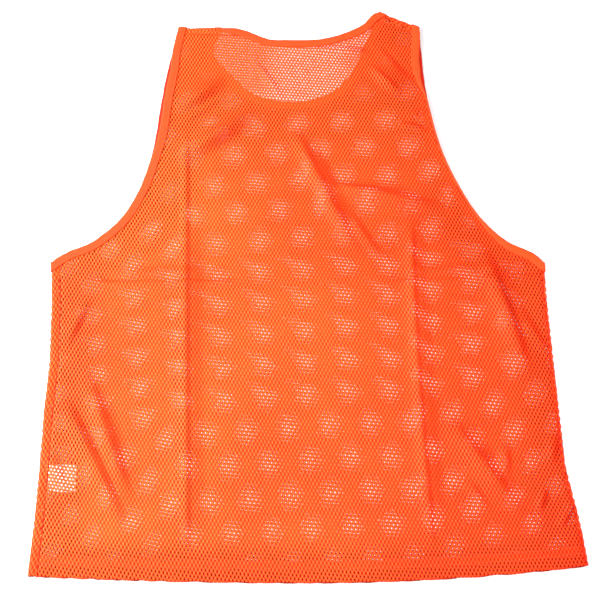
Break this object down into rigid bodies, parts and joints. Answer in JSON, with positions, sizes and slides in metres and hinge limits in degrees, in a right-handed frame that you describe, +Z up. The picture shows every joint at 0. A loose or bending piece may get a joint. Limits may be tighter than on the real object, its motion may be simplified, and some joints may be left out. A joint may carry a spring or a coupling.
{
  "type": "mesh training bib",
  "caption": "Sleeveless pull-on mesh bib lying flat, back uppermost, with a deep front neck, bound neck and armholes and a turned-up hem.",
  "frame": {"origin": "on the floor under the middle of the flat bib's box", "axes": "+Z up from the floor through the front and then the back panel, +Y from the hem to the shoulders, +X to the right as the back panel is seen from above"},
  "size_m": [0.608, 0.7212, 0.0101],
  "materials": {
    "net_cloth": "bright orange warp-knitted polyester net with staggered upright holes, soft sheen",
    "binding_tape": "plain orange folded polyester tape, sewn down along its inner edge",
    "label_tape": "blank white satin label tape"
  },
  "bodies": {
    "root": {"front_panel": "net_cloth", "back_panel": "net_cloth", "neck_binding": "binding_tape", "armhole_binding_left": "binding_tape", "armhole_binding_right": "binding_tape", "care_label": "label_tape"}
  },
  "joints": []
}
